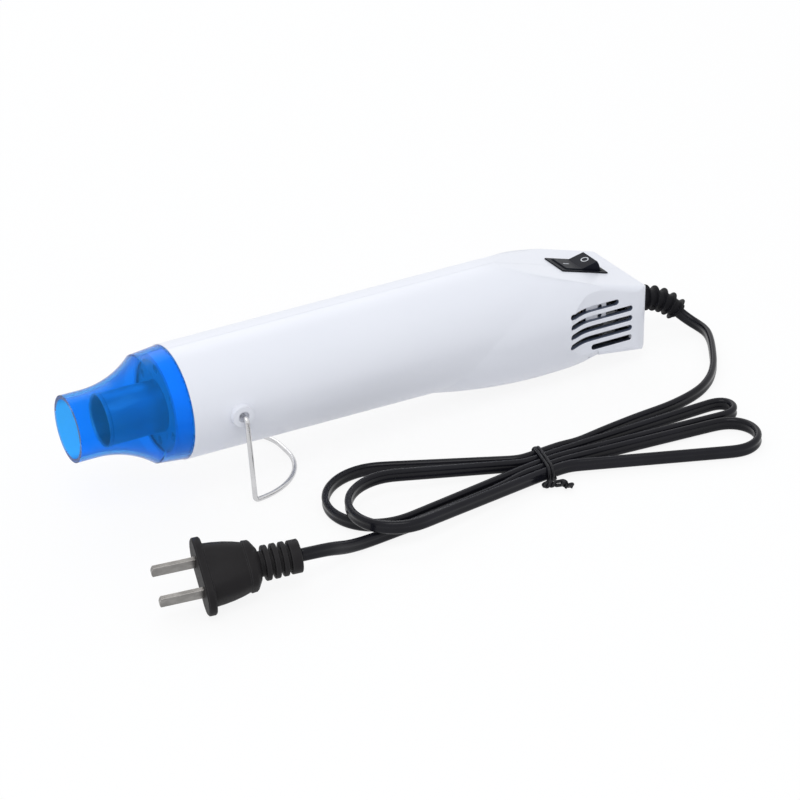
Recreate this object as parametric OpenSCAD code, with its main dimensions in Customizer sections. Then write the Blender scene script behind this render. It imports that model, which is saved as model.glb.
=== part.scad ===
// Embossing heat tool: a slim hand-held hot air tool that rests on a wire foot.
// Barrel pieces are drawn along X from the nozzle mouth, then set down at a slight pitch.

/* [Housing] */
// Distance from the nozzle's mouth to the rear face
tool_len = 254; // [250:1:260]
// Diameter of the barrel just behind the nozzle cap
barrel_d = 46.4; // [45.6:0.2:48]
// Diameter of the barrel at the front of the switch face
barrel_rear_d = 48.8; // [48:0.2:50]
// Thickness of the housing wall
wall = 2; // [1.6:0.1:2.2]
// Half the width between the flat vent panels
panel_y = 22; // [21.5:0.25:22.5]
// Depth of the tail below the centre line, where the swelling ends
tail_low = 19.5; // [18.5:0.5:20.5]
// Downward slope of the tail's underside
tail_slope = 7.5; // [6:0.5:9]
// Radius of the swelling round the fan, seen from the front
belly_r = 26.4; // [26:0.1:27]
// Drop of the swelling's centre below the barrel's centre line
belly_drop = 3.5; // [3:0.25:4]
// Distance from the mouth to the lowest part of the swelling
belly_x = 205; // [203:1:207]
// Slope of the switch face
face_slope = 16; // [15:0.5:17]

/* [Vents] */
// Height of a vent slot
slot_h = 2.5; // [2:0.1:2.8]
// Distance between two rows of slots
slot_pitch = 4.5; // [4.2:0.1:4.7]
// Height of the top row above the centre line
slot_top_z = 3.8; // [3:0.2:4.4]

/* [Nozzle cap] */
// Length of the nozzle cap
cap_len = 42.7; // [42:0.1:44.5]
// Diameter of the cap's mouth, outside
mouth_d = 26.8; // [26:0.2:28]
// Thickness of the cap's wall
cap_wall = 1.6; // [1.2:0.1:1.8]
// Length of the straight mouth before the flare
mouth_len = 8; // [7:0.5:10]
// Distance from the mouth to the end of the flare
flare_end = 31.5; // [30.5:0.5:32.5]
// How much the radius grows over the cap's rear band
band_rise = 1.2; // [0.8:0.1:1.6]

/* [Heater] */
// Diameter of the steel heat tube
tube_d = 20.8; // [20:0.2:21.4]
// Wall of the steel heat tube
tube_wall = 0.5; // [0.4:0.1:0.6]
// Distance from the mouth to the front of the heat tube
tube_front = 13; // [12:0.5:16]
// Length of the heat tube
tube_len = 106; // [104:1:108]
// Turns of the heating coil
coil_turns = 16; // [10:1:20]
// Diameter of the heating wire
coil_wire = 0.9; // [0.8:0.1:1]

/* [Fan and motor] */
// Diameter of the fan over its blades
fan_d = 37; // [34:0.5:38]
// Number of fan blades
fan_blades = 7; // [5:1:9]
// Diameter of the motor
motor_d = 27.7; // [25:0.1:28]
// Length of the motor
motor_len = 30; // [28:0.5:31]
// Diameter of the motor's shaft
shaft_d = 2.3; // [2:0.1:3]

/* [Switch] */
// Length of the switch frame along the slope
bezel_len = 23.2; // [22:0.2:23.4]
// Width of the switch frame
bezel_w = 14.2; // [13.8:0.2:15]
// Height of the switch frame's rim
bezel_rim = 0.6; // [0.4:0.1:1.2]
// Swing of the rocker between on and off
rocker_swing = 28; // [22:1:28]

/* [Stand] */
// Diameter of the stand's wire
wire_d = 2; // [1.8:0.1:2.2]
// Height of the stand's pivots above the middle of its foot
stand_h = 36.3; // [35.4:0.3:37.5]
// Distance from the cap to the pivots
stand_back = 19.4; // [17.8:0.4:23.4]
// Half the distance between the stand's legs
leg_y = 28.4; // [28:0.2:29.4]
// Reach of the stand's foot behind the pivots
foot_reach = 27; // [25:0.2:29]
// Diameter of the round bosses that hold the stand
boss_d = 9; // [8.6:0.2:10.6]

/* [Screws] */
// Diameter of a housing screw's shank
screw_d = 2.6; // [2.4:0.1:2.8]
// Diameter of a housing screw's head
screw_head_d = 4.8; // [4.4:0.1:5]

/* [Cord] */
// Width of the flat twin cord
cord_w = 5.4; // [5:0.1:5.6]
// Thickness of the flat twin cord
cord_t = 2.9; // [2.7:0.1:3]
// Sideways step between strands in the tied waist
strand_step = 3.4; // [3.4:0.05:3.6]

/* [Plug] */
// Length of a plug blade
blade_len = 16.5; // [15:0.5:18]
// Distance between the two blades
blade_gap = 12.7; // [12.7:0.1:12.7]

/* [Hidden] */
fine = 96;
fit = 0.05;
gap = 0.3;

// Plain vector helpers
function unit(v) = v / norm(v);
function left_of(p, q) = let (u = unit(q - p)) [-u[1], u[0]];
function at(list, i) = list[(i + len(list)) % len(list)];

// The outline moved inward by d, its corners in step
function moved_in(pts, d) = [for (i = [0:len(pts) - 1])
  let (a = left_of(at(pts, i - 1), pts[i]), b = left_of(pts[i], at(pts, i + 1)))
  pts[i] + (a + b) * d / (1 + a * b)];
function turns_left(pts, i) = cross(pts[i] - at(pts, i - 1), at(pts, i + 1) - pts[i]) > 0;
// Two touch points and the centre of a rounded corner
function corner(p, q, s, r) =
  let (u = unit(p - q), v = unit(s - q), half = acos(u * v) / 2)
  [q + u * r / tan(half), q + v * r / tan(half), q + unit(u + v) * r / sin(half)];
function softened(r, d, convex) = r == 0 ? 0 : max(0.4, convex ? r - d : r + d);

// A closed outline, counterclockwise, with each corner rounded by its own radius
module soft_outline(pts, radii, d = 0) {
  p = moved_in(pts, d);
  r = [for (i = [0:len(p) - 1]) softened(radii[i], d, turns_left(pts, i))];
  c = [for (i = [0:len(p) - 1]) corner(at(p, i - 1), p[i], at(p, i + 1), r[i])];
  difference() {
    union() {
      polygon([for (i = [0:len(p) - 1]) each (r[i] == 0 ? [p[i]] : [c[i][0], c[i][1]])]);
      for (i = [0:len(p) - 1]) if (r[i] > 0 && turns_left(p, i))
        translate(c[i][2]) circle(r = r[i], $fn = fine);
    }
    for (i = [0:len(p) - 1]) if (r[i] > 0 && !turns_left(p, i))
      translate(c[i][2]) circle(r = r[i], $fn = fine);
  }
}

// Heights of the sloped switch face
face_start = 190;
pivot_x = cap_len + stand_back;
face_mid_x = 229.4;
face_mid_z = 12.8;
function face_z(x) = face_mid_z - (x - face_mid_x) * tan(face_slope);

// The tool leans back from its wire foot onto the swelling below the fan
belly_arc = 243;
belly_axis_z = belly_arc - belly_r - belly_drop;
lean_reach = belly_x - pivot_x;
pitch = atan2(belly_axis_z, lean_reach)
  + asin((wire_d / 2 + stand_h - belly_arc) / norm([lean_reach, belly_axis_z]));
pivot_z = wire_d / 2 + stand_h;
axis_z = pivot_z + pivot_x * sin(pitch);
mid_x = tool_len * cos(pitch) / 2;

module place() {
  translate([-mid_x, 0, axis_z]) rotate([0, pitch, 0]) children();
}
function placed(p) = [p[0] * cos(pitch) + p[2] * sin(pitch) - mid_x, p[1],
  axis_z - p[0] * sin(pitch) + p[2] * cos(pitch)];
function placed_way(v) = placed(v) - placed([0, 0, 0]);

module along_x() {
  rotate([0, 90, 0]) children();
}
// A turned piece along X from a profile of radius and distance
module turned(profile, sides = fine) {
  along_x() rotate_extrude($fn = sides) polygon(profile);
}
module rod(r, x0, x1, sides = fine) {
  translate([x0, 0, 0]) along_x() cylinder(r = r, h = x1 - x0, $fn = sides);
}
module both_sides() {
  children();
  mirror([0, 1, 0]) children();
}

// Housing
neck_len = 6.3;
neck_x = cap_len - neck_len;
cap_rear_r = barrel_d / 2 - 0.2;
band_r = cap_rear_r - band_rise;
neck_r = band_r + band_rise * (neck_x - flare_end) / (cap_len - flare_end) - cap_wall - fit;
function barrel_r(x) = (barrel_d + (barrel_rear_d - barrel_d) * (x - cap_len)
  / (face_start - cap_len)) / 2;
tail_x = tool_len - 34.5;
wedge_run = 40;
step_x = tool_len - 26.5;
corner_y = 9;
edge_r = 2.5;
function tail_z(x) = -tail_low - (x - step_x) * tan(tail_slope);
side_pts = [[20, -40], [step_x - 27, -40], [step_x, -tail_low], [tool_len, tail_z(tool_len)],
  [tool_len, face_z(tool_len)], [150, face_z(150)], [20, face_z(150)]];
side_radii = [0, 0, 5, 5, 5, 0, 0];
top_pts = [[20, -40], [tail_x - wedge_run, -40], [tail_x, -panel_y], [tool_len, -panel_y],
  [tool_len, panel_y], [tail_x, panel_y], [tail_x - wedge_run, 40], [20, 40]];
top_radii = [0, 0, 20, corner_y, corner_y, 20, 0, 0];

module barrel_profile(d) {
  front = d > 0 ? neck_x - 5 : neck_x;
  polygon([[0, front], [neck_r - d, front], [neck_r - d, cap_len + d],
    [barrel_r(cap_len) - d, cap_len + d], [barrel_r(tool_len) - d, tool_len + 1], [0, tool_len + 1]]);
}
module belly_profile(d) {
  intersection() {
    translate([belly_r - belly_arc, belly_x]) circle(r = belly_arc - d, $fn = 360);
    translate([0, belly_x - 75]) square([60, 75 + tool_len + 1 - belly_x]);
  }
}
// A bar that rounds one long edge of the tail, its corner on the X axis
module edge_bar(r, x0, x1) {
  translate([x0, 0, 0]) difference() {
    translate([0, -1, -1]) cube([x1 - x0, r + 1, r + 1]);
    translate([-1, r, r]) along_x() cylinder(r = r, h = x1 - x0 + 2, $fn = 48);
  }
}
module body_form(d) {
  difference() {
    intersection() {
      union() {
        along_x() rotate_extrude($fn = fine) barrel_profile(d);
        translate([0, 0, -belly_drop]) along_x() rotate_extrude($fn = fine) belly_profile(d);
        // Square lower half of the tail
        rotate([90, 0, 0]) linear_extrude(height = 60, center = true)
          polygon([[step_x - 8 + d, 0], [step_x + 10 + d, -40], [tool_len + 1, -40], [tool_len + 1, 0]]);
      }
      rotate([90, 0, 0]) linear_extrude(height = 100, center = true)
        soft_outline(side_pts, side_radii, d);
      translate([0, 0, -60]) linear_extrude(height = 120) soft_outline(top_pts, top_radii, d);
    }
    both_sides() translate([face_mid_x, -panel_y + d, face_mid_z - d / cos(face_slope)])
      rotate([0, face_slope, 0]) mirror([0, 0, 1]) edge_bar(edge_r, -26, 34);
    both_sides() translate([step_x, -panel_y + d, d / cos(tail_slope) - tail_low])
      rotate([0, tail_slope, 0]) edge_bar(edge_r, -4, 34);
  }
}

// Vent slots in both side panels: distance, start and end of each row
slot_rows = [[0, 211, 236.5], [1, 211, 243.5], [2, 211, 243.5], [3, 211, 243.5], [4, 223.5, 243.5]];
module slot_cuts() {
  for (row = slot_rows) translate([0, 0, slot_top_z - row[0] * slot_pitch]) {
    for (x = [row[1] + slot_h / 2, row[2] - slot_h / 2])
      translate([x, -35, 0]) rotate([-90, 0, 0]) cylinder(d = slot_h, h = 19, $fn = 32);
    translate([row[1] + slot_h / 2, -35, -slot_h / 2]) cube([row[2] - row[1] - slot_h, 19, slot_h]);
  }
}

// Screw posts: distance from the mouth and height
screw_spots = [[80, -16.2], [120, 17.5], [207, -20.2]];
post_d = 7.2;
seat_y = 6;
head_h = 2;
module posts(d) {
  for (s = screw_spots) translate([s[0], 0, s[1]]) rotate([-90, 0, 0]) cylinder(d = d, h = 40, $fn = 48);
}

// Switch opening
frame_len = bezel_len - 3.2;
frame_w = bezel_w - 1.6;
module on_face() {
  translate([face_mid_x, 0, face_mid_z]) rotate([0, face_slope, 0]) children();
}
module switch_hole() {
  on_face() translate([-frame_len / 2 - gap, -frame_w / 2 - gap, -20])
    cube([frame_len + 2 * gap, frame_w + 2 * gap, 40]);
}

// Relief
relief_z = -9.5;
relief_neck_r = 4.4;
boss_out = leg_y - 2.4;
pin_len = 7;
module shell_half() {
  intersection() {
    difference() {
      union() {
        difference() {
          body_form(0);
          body_form(wall);
          both_sides() slot_cuts();
        }
        // Screw posts, kept inside the housing
        intersection() {
          union() {
            posts(post_d);
            mirror([0, 1, 0]) posts(post_d);
          }
          body_form(wall - 0.2);
        }
        // Boss for the stand
        intersection() {
          both_sides() translate([pivot_x, -boss_out, 0]) rotate([-90, 0, 0])
            cylinder(d = boss_d, h = boss_out - 14, $fn = 64);
          translate([0, -50, -50]) cube([200, 100, 100]);
        }
        // Rib behind the upper vent rows
        both_sides() translate([221.5, -panel_y + wall - 0.2, slot_top_z - slot_pitch - 3.4])
          difference() {
            cube([10, 2.7, 9]);
            translate([6.8, -1, 3]) rotate([-90, 0, 0]) cylinder(d = 2, h = 6, $fn = 32);
            translate([6.8, -1, 7]) rotate([-90, 0, 0]) cylinder(d = 2, h = 6, $fn = 32);
          }
      }
      switch_hole();
      // Stand pivots: a close bore and a wide mouth
      both_sides() translate([pivot_x, -boss_out - 1, 0]) rotate([-90, 0, 0]) {
        cylinder(d = wire_d + 2 * fit, h = pin_len + 1 + gap, $fn = 48);
        cylinder(d = 4.4, h = 2.5, $fn = 48);
      }
      translate([0, 0, relief_z]) rod(relief_neck_r + fit, tool_len - wall - 3, tool_len + 1);
    }
    translate([0, -60, -60]) cube([tool_len + 2, 60, 120]);
  }
}
module left_shell() {
  color("#f3f5fb") place() difference() {
    shell_half();
    for (s = screw_spots) translate([s[0], -9, s[1]]) rotate([-90, 0, 0])
      cylinder(d = screw_d + 2 * fit, h = 10, $fn = 48);
  }
}
module right_shell() {
  color("#f3f5fb") place() difference() {
    mirror([0, 1, 0]) shell_half();
    for (s = screw_spots) translate([s[0], -1, s[1]]) rotate([-90, 0, 0]) {
      cylinder(d = screw_d + 2 * fit, h = 40, $fn = 48);
      translate([0, 0, seat_y + 1]) cylinder(d = screw_head_d + gap, h = 40, $fn = 48);
    }
  }
}
module housing_screws() {
  color("silver") place() for (s = screw_spots) translate([s[0], -8, s[1]]) rotate([-90, 0, 0]) {
    cylinder(d = screw_d, h = 8 + seat_y + 0.5, $fn = 48);
    translate([0, 0, 8 + seat_y]) difference() {
      cylinder(d = screw_head_d, h = head_h, $fn = 48);
      translate([-0.4, -1.5, head_h - 0.9]) cube([0.8, 3, 1]);
      translate([-1.5, -0.4, head_h - 0.9]) cube([3, 0.8, 1]);
    }
  }
}

// Nozzle cap
mouth_r = mouth_d / 2;
flare_run = flare_end - mouth_len;
flare_rise = band_r - mouth_r;
flare_r = (flare_run * flare_run + flare_rise * flare_rise) / (2 * flare_rise);
module cap_profile(d, x0, x1) {
  difference() {
    polygon([[0, x0], [mouth_r - d, x0], [mouth_r - d, mouth_len],
      [band_r - d, mouth_len], [band_r - d, flare_end], [cap_rear_r - d, x1], [0, x1]]);
    translate([mouth_r + flare_r, mouth_len]) circle(r = flare_r + d, $fn = 360);
  }
}
module nozzle_cap() {
  color("#2f7bff") place() along_x() rotate_extrude($fn = fine) difference() {
    cap_profile(0, 0, cap_len);
    cap_profile(cap_wall, -1, cap_len + 1);
  }
}

// Heater
tube_r = tube_d / 2;
tube_end = tube_front + tube_len;
bore_r = tube_r - tube_wall;
sleeve_in = bore_r - 0.7;
cards_x0 = 40;
cards_x1 = 112;
coil_x0 = 46;
coil_x1 = 96;
coil_r = 7.4;
card_t = 0.8;
module heat_tube() {
  color("silver") place() turned([[bore_r, tube_front + 0.6], [bore_r + 0.3, tube_front],
    [tube_r + 0.3, tube_front], [tube_r + 0.3, tube_front + 1.2], [tube_r, tube_front + 1.6],
    [tube_r, tube_end], [bore_r, tube_end]]);
}
module tube_holder() {
  r = neck_r - wall - fit;
  color("wheat") place() difference() {
    turned([[tube_r + fit, neck_x + 1], [r, neck_x + 1], [r, cap_len + 1], [tube_r + 3, cap_len + 1],
      [tube_r + 3, cap_len + 6], [tube_r + fit, cap_len + 6]]);
    for (a = [0:60:300]) rotate([a, 0, 0]) translate([0, 0, (tube_r + r) / 2 + 1])
      rod(2, neck_x, cap_len + 2, 32);
  }
}
module mica_sleeve() {
  color("tan") place() turned([[sleeve_in, cards_x0 - 2], [bore_r - fit, cards_x0 - 2],
    [bore_r - fit, cards_x1 + 2], [sleeve_in, cards_x1 + 2]]);
}
// Two crossed plates, narrow where the wire is wound and wide where they are held
module heater_cards() {
  wide = sleeve_in - gap;
  thin = coil_r - coil_wire / 2 - 0.2;
  color("khaki") place() union() for (a = [0, 90]) rotate([a, 0, 0]) {
    translate([cards_x0, -card_t / 2, -wide]) cube([coil_x0 - 2 - cards_x0, card_t, 2 * wide]);
    translate([coil_x0 - 3, -card_t / 2, -thin]) cube([coil_x1 - coil_x0 + 6, card_t, 2 * thin]);
    translate([coil_x1 + 2, -card_t / 2, -wide]) cube([cards_x1 - coil_x1 - 2, card_t, 2 * wide]);
  }
}
// One unbroken wire, eight rings of six sides a turn
coil_path = [for (i = [0:coil_turns * 8])
  [coil_x0 + (coil_x1 - coil_x0) * i / (coil_turns * 8), coil_r * cos(i * 45), coil_r * sin(i * 45)]];
function round_section(r, n) = [for (i = [0:n - 1]) [r * cos(360 * i / n), r * sin(360 * i / n)]];
module heating_coil() {
  color("gray") place() sweep(coil_path, round_section(coil_wire / 2, 6), [1, 0, 0]);
}
module thermal_cutout() {
  color("silver") place() translate([0, card_t / 2 + 2.1, card_t / 2 + 2.1]) {
    rod(2, cards_x1 - 12, cards_x1 - 3, 48);
    rod(0.4, cards_x1 - 3.5, cards_x1 + 3, 24);
  }
}
duct_rear = 162;
duct_r = barrel_r(duct_rear) - wall - gap;
duct_wall = 1.2;
module air_duct() {
  neck_out = tube_r + gap + duct_wall;
  color("white") place() difference() {
    turned([[tube_r + fit, tube_end - 8], [neck_out, tube_end - 8], [neck_out, tube_end + 3],
      [duct_r, duct_rear - 12], [duct_r, duct_rear], [duct_r - duct_wall, duct_rear],
      [duct_r - duct_wall, duct_rear - 12.5], [neck_out - duct_wall, tube_end + 2.6],
      [neck_out - duct_wall, tube_end + 0.3], [tube_r + fit, tube_end + 0.3]]);
    translate([duct_rear - 20, -6, -30]) cube([30, 12, 30 - duct_r + 3]);
    translate([tube_end + 4, -4, -30]) cube([9, 8, 22]);
  }
}

// Fan, motor and their mount
motor_front = 178;
shaft_run = 18;
motor_r = motor_d / 2;
motor_rear = motor_front + motor_len;
shaft_r = shaft_d / 2;
fan_x0 = 165;
fan_x1 = 174;
hub_r = 5;
shaft_front = fan_x0 - 1;
module motor_shaft() {
  color("silver") place() rod(shaft_r, shaft_front, motor_front + shaft_run);
}
module fan() {
  blade_r = fan_d / 2;
  pull = 35;
  color("#d8dce2") place() difference() {
    union() {
      turned([[0, fan_x0 - 0.5], [hub_r - 1.5, fan_x0 - 0.5], [hub_r, fan_x0 + 1], [hub_r, fan_x1], [0, fan_x1]]);
      intersection() {
        union() for (i = [0:fan_blades - 1]) rotate([360 * i / fan_blades, 0, 0])
          translate([(fan_x0 + fan_x1) / 2, 0, 0]) rotate([0, 0, pull])
            translate([-8, -0.6, hub_r - 1]) cube([16, 1.2, blade_r]);
        rod(blade_r, fan_x0 + 0.5, fan_x1 - 0.5);
      }
    }
    rod(shaft_r + fit / 2, fan_x0 - 2, fan_x1 + 1);
  }
}
module motor() {
  color("gray") place() difference() {
    union() {
      rod(motor_r, motor_front, motor_rear - 3);
      rod(motor_r - 0.6, motor_rear - 3, motor_rear);
      rod(4, motor_front - 1.5, motor_front + 1);
    }
    rod(shaft_r + fit, motor_front - 2, motor_front + shaft_run + gap);
    for (a = [0, 180]) rotate([a, 0, 0]) translate([motor_front + 9, 0, motor_r])
      cube([6, 4, 0.8], center = true);
  }
}
mount_x0 = 181;
mount_x1 = 187;
module motor_mount() {
  rim = barrel_r(mount_x0) - wall - 0.15;
  color("white") place() difference() {
    union() {
      turned([[motor_r + fit, mount_x0 - 3], [motor_r + 1.8, mount_x0 - 3], [motor_r + 1.8, mount_x1 + 3],
        [motor_r + fit, mount_x1 + 3]]);
      turned([[rim - 1.8, mount_x0], [rim, mount_x0], [rim, mount_x1], [rim - 1.8, mount_x1]]);
      for (a = [45:90:315]) rotate([a, 0, 0])
        translate([mount_x0, -1.2, motor_r + 0.9]) cube([mount_x1 - mount_x0, 2.4, rim - motor_r - 1.8]);
    }
    translate([mount_x0 - 1, -6, -30]) cube([mount_x1 - mount_x0 + 2, 12, 30 - motor_r - 3.5]);
  }
}
board_x = motor_rear + gap;
board_t = 1.6;
board_r = motor_r - 2.35;
diode_r = 1.3;
module rectifier_board() {
  color("#b98b3a") place() difference() {
    rod(board_r, board_x, board_x + board_t);
    for (y = [-8, 8]) translate([0, y, 0]) rod(0.9, board_x - 1, board_x + board_t + 1, 32);
  }
}
module diodes() {
  color("black") place() for (z = [-7.5, -3, 3, 7.5])
    translate([board_x + board_t + diode_r + 0.05, -7.5, z]) rotate([-90, 0, 0])
      cylinder(r = diode_r, h = 5, $fn = 32);
}

// Switch
well_len = frame_len - 0.8;
well_w = frame_w - 1.2;
well_depth = 8;
frame_depth = 13;
hinge_z = -2.5;
rocker_r = well_len / 2 - gap;
rocker_w = well_w - 2 * gap;
hinge_r = 1;
module switch_frame() {
  color("#23262b") place() on_face() difference() {
    union() {
      translate([-bezel_len / 2, -bezel_w / 2, 0]) cube([bezel_len, bezel_w, bezel_rim]);
      translate([-frame_len / 2, -frame_w / 2, -frame_depth]) cube([frame_len, frame_w, frame_depth + 0.5]);
    }
    translate([-well_len / 2, -well_w / 2, -well_depth]) cube([well_len, well_w, 20]);
    translate([0, -frame_w, hinge_z]) rotate([-90, 0, 0])
      cylinder(r = hinge_r + fit, h = 2 * frame_w, $fn = 48);
  }
}
module rocker() {
  dish = rocker_swing / 2;
  rise = 3.6;
  reach = rocker_r + 2;
  top = rise + reach * tan(dish);
  color("#1d2025") place() on_face() translate([0, 0, hinge_z]) rotate([0, -dish, 0]) {
    rotate([90, 0, 0]) linear_extrude(height = rocker_w, center = true) intersection() {
      circle(r = rocker_r, $fn = fine);
      polygon([[-reach, -1.2], [0, -3.2], [reach, -1.2], [reach, top], [0, rise], [-reach, top]]);
    }
    rotate([90, 0, 0]) cylinder(r = hinge_r, h = frame_w - 0.4, center = true, $fn = 48);
  }
}
terminal_len = 7;
module switch_terminals() {
  color("#c9a227") place() on_face() for (x = [-6.5, 6.5])
    translate([x - 0.4, -2.4, -frame_depth - terminal_len]) difference() {
      cube([0.8, 4.8, terminal_len]);
      translate([-1, 2.4, 2]) along_x() cylinder(d = 1.6, h = 3, $fn = 24);
    }
}

// Stand: pins in the bosses, two legs and one round foot
bend = 1.5;
foot_r = foot_reach - bend;
module wire_arc(r) {
  rotate_extrude(angle = 90, $fn = 96) translate([r, 0]) circle(d = wire_d, $fn = 20);
}
module wire(l) {
  cylinder(d = wire_d, h = l, $fn = 20);
}
module stand() {
  color("silver") translate([placed([pivot_x, 0, 0])[0], 0, pivot_z]) both_sides() {
    translate([0, -leg_y + bend, 0]) rotate([-90, 0, 0]) wire(leg_y - bend - boss_out + pin_len);
    translate([0, -leg_y + bend, -bend]) rotate([0, 90, 0]) rotate([0, 0, 180]) wire_arc(bend);
    translate([0, -leg_y, bend - stand_h]) wire(stand_h - 2 * bend);
    translate([bend, -leg_y, bend - stand_h]) rotate([90, 0, 0]) rotate([0, 0, 180]) wire_arc(bend);
    translate([bend, foot_r - leg_y, -stand_h]) rotate([0, 0, -90]) wire_arc(foot_r);
    translate([foot_reach, foot_r - leg_y, -stand_h]) rotate([-90, 0, 0]) wire(leg_y - foot_r);
  }
}

// Strain relief: a ribbed sleeve pulled down and towards the front by the cord
relief_turn = 30;
relief_bend = 42;
relief_run = 38;
fins = 12;
fin_turn = 3.05;
module relief_arc(from, to, r, top = 1) {
  translate([0, 0, -relief_run]) rotate([90, 0, 0]) rotate([0, 0, 90 - to])
    rotate_extrude(angle = to - from, $fn = 180) translate([relief_run, 0]) intersection() {
      circle(r = r, $fn = 40);
      translate([-10, -10]) square([10 + top * r, 20]);
    }
}
module strain_relief() {
  color("#17171a") place() translate([tool_len, 0, relief_z]) {
    rod(6.4, -wall - 3, -wall - gap / 3);
    rod(relief_neck_r, -wall - 1, 0.5);
    rod(5.4, 0, 0.9);
    rotate([-relief_turn, 0, 0]) {
      relief_arc(0, relief_bend, 4.1);
      // Fins: each second one only runs round the lower side
      for (i = [0:fins]) let (a = 4 + fin_turn * i)
        relief_arc(a - 0.6, a + 0.6, 5.4 - 0.03 * i, i % 2 == 0 ? 1 : 0.2);
    }
  }
}
relief_out = [relief_run * sin(relief_bend),
  -relief_run * (1 - cos(relief_bend)) * sin(relief_turn),
  -relief_run * (1 - cos(relief_bend)) * cos(relief_turn)];
relief_way = [cos(relief_bend), -sin(relief_bend) * sin(relief_turn),
  -sin(relief_bend) * cos(relief_turn)];

// Clamp on the cord inside the tail
clamp_x0 = tool_len - 17;
clamp_x1 = tool_len - 11;
clamp_y = 10;
clamp_top = relief_z + 3.6;
clamp_low = tail_z(clamp_x0) + wall / cos(tail_slope) + 0.1;
module cord_clamp() {
  color("#dfe3ea") place() difference() {
    translate([clamp_x0, -clamp_y, clamp_low])
      cube([clamp_x1 - clamp_x0, 2 * clamp_y, clamp_top - clamp_low]);
    translate([clamp_x0 - 1, 0, relief_z]) inner_cord_form(clamp_x1 - clamp_x0 + 2, 0.1);
    for (y = [-7, 7]) translate([(clamp_x0 + clamp_x1) / 2, y, clamp_low - 1])
      cylinder(d = 2.2 + 2 * fit, h = 20, $fn = 32);
  }
}
module clamp_screws() {
  color("silver") place() for (y = [-7, 7]) translate([(clamp_x0 + clamp_x1) / 2, y, clamp_low + 0.4]) {
    cylinder(d = 2.2, h = clamp_top - clamp_low - 0.2, $fn = 32);
    translate([0, 0, clamp_top - clamp_low - 0.4]) cylinder(d = 4.2, h = 1.6, $fn = 32);
  }
}
// The flat cord lying level, inside the tail
module inner_cord_form(l, d) {
  r = cord_t / 2 + d;
  y = cord_w / 2 - cord_t / 2;
  for (s = [-y, y]) translate([0, s, 0]) along_x() cylinder(r = r, h = l, $fn = 32);
  translate([0, -y, -r]) cube([l, 2 * y, 2 * r]);
}

// Wires inside the housing: the cord's two cores, the switched wire and the heater's pair
wire_r = 0.8;
heater_wire = [[board_x + board_t + 0.2, 4, -9.5], [211.6, 4, -11], [212.6, 4, -14], [212.6, 4, -19],
  [210.5, 4, -24], [205, 4, -25.8], [197, 4, -24.6], [186, 3.6, -21.4], [164, 3, -20.6],
  [146, 3, -20.6], [138, 3, -20], [131, 3, -17], [126, 2.6, -12], [121, 2, -7], [116, 1.6, -5.2],
  [cards_x1 + 0.6, card_t / 2 + wire_r + 0.15, -5]];
inner_wires = [
  [[clamp_x0 - 2.9, -1.4, relief_z], [232.2, -1.2, relief_z - 0.9], [230.6, -0.4, -10.5], [230, 0, -9.2]],
  [[clamp_x0 - 2.9, 1.4, relief_z], [231.5, 3.4, -10.5], [227, 7, -11.5], [219, 8, -10],
    [213, 7, -8.6], [board_x + board_t + 0.2, 7, -8.5]],
  [[217.4, 0, -5.7], [214, 1, -6], [board_x + board_t + 0.2, 2, -6]],
  heater_wire, [for (p = heater_wire) [p[0], -p[1], p[2]]]];
module lead_wires() {
  color("#2b2d33") place() {
    translate([clamp_x0 - 3, 0, relief_z])
      inner_cord_form(tool_len - wall - 3 - clamp_x0 + 3, 0);
    for (w = inner_wires) sweep(w, round_section(wire_r, 8), [0, 0.1, 1]);
  }
}

// A closed tube swept along a path; its section's second axis leans towards `up`
function way(path, i) = unit(path[min(i + 1, len(path) - 1)] - path[max(i - 1, 0)]);
function swept_ring(path, section, up, i) =
  let (t = way(path, i), side = unit(cross(t, up)), rise = cross(side, t))
  [for (s = section) path[i] + side * s[0] + rise * s[1]];
module sweep(path, section, up = [0, 0, 1]) {
  n = len(section);
  m = len(path);
  rings = [for (i = [0:m - 1]) each swept_ring(path, section, up, i)];
  walls = [for (i = [0:m - 2], j = [0:n - 1]) let (k = (j + 1) % n)
    each [[i * n + j, i * n + k, i * n + n + k], [i * n + j, i * n + n + k, i * n + n + j]]];
  ends = [for (j = [1:n - 2]) each [[0, j + 1, j], [(m - 1) * n, (m - 1) * n + j, (m - 1) * n + j + 1]]];
  polyhedron(points = rings, faces = concat(walls, ends));
}
// Section of the cord standing on its edge: two half rounds, or one point at each end
edge_z = cord_w / 2 - cord_t / 2;
cord_section = [for (s = [1, -1], a = [0:45:180])
  [cord_t / 2 * cos(a) * s, (edge_z + cord_t / 2 * sin(a)) * s]];
hank_section = [for (s = [1, -1]) each [[cord_t / 2 * s, edge_z * s], [0, cord_w / 2 * s],
  [-cord_t / 2 * s, edge_z * s]]];
rest_z = cord_w / 2 + 0.05;

tie_t = 0.6;
tie_gap = 0.3;

// The hank: two turns, drawn in at the waist and lying to the left and right of it
waist = [39.8, -73.6];
waist_half = 7;
waist_z = cord_w / 2 + tie_gap + tie_t + 0.05;
level = cord_w + 0.6;
function strand_y(i) = waist[1] + (2 - i) * strand_step;
// A lobe's round end: centre, radius, side of the waist, strands it leaves and joins, lift
lobe_a = [[-24.7, -55.9], 21, -1, 0, 2, 0];
lobe_1 = [[121.8, -77.4], 5.6, 1, 2, 1, 0];
lobe_b = [[-24.7, -71.6], 19, -1, 1, 4, level];
lobe_2 = [[112.3, -97], 11.2, 1, 4, 3, 0];
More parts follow.
